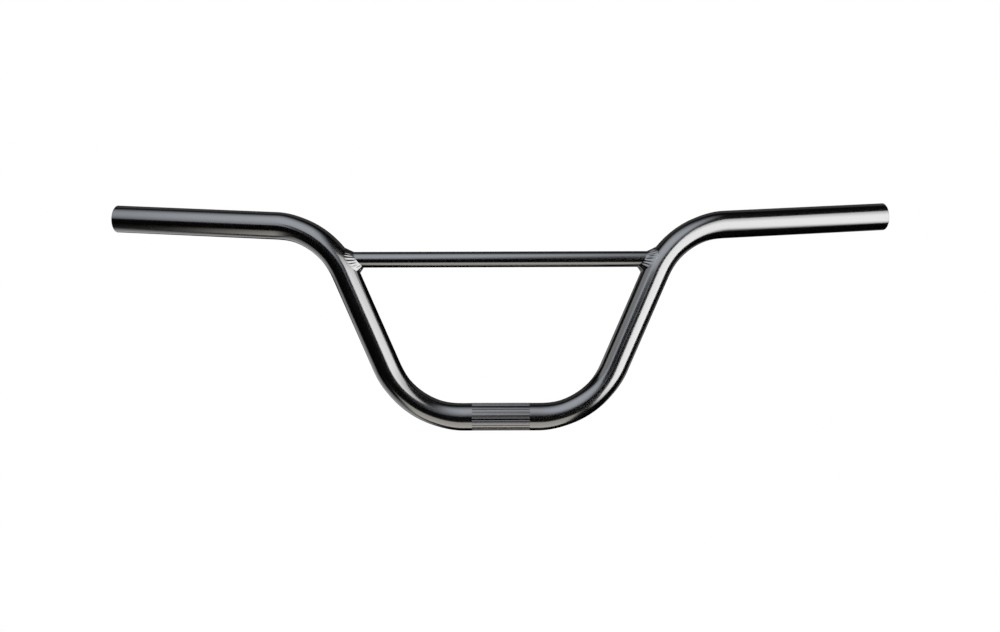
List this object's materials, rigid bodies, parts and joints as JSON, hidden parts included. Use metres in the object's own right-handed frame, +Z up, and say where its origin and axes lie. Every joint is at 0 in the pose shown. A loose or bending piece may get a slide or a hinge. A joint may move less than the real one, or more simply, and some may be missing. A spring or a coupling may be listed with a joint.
{
  "type": "bmx handlebar",
  "caption": "Steel bicycle handlebar: a bent tube with high rise, a splined stem clamp, open grip ends and a welded crossbar, painted gloss black",
  "frame": {"origin": "centre of the stem clamp's straight section, on the main tube's axis", "axes": "+X along the clamp to the right-hand grip, +Z up towards the crossbar, +Y backwards, the way the grips sweep"},
  "size_m": [0.6382, 0.0563, 0.1842],
  "materials": {
    "tube_paint": "gloss black paint over steel",
    "crossbar_paint": "gloss black paint over steel",
    "weld_paint": "gloss black paint over rippled weld metal"
  },
  "bodies": {
    "root": {"main_tube": "tube_paint", "crossbar": "crossbar_paint", "weld_left": "weld_paint", "weld_right": "weld_paint"}
  },
  "joints": []
}
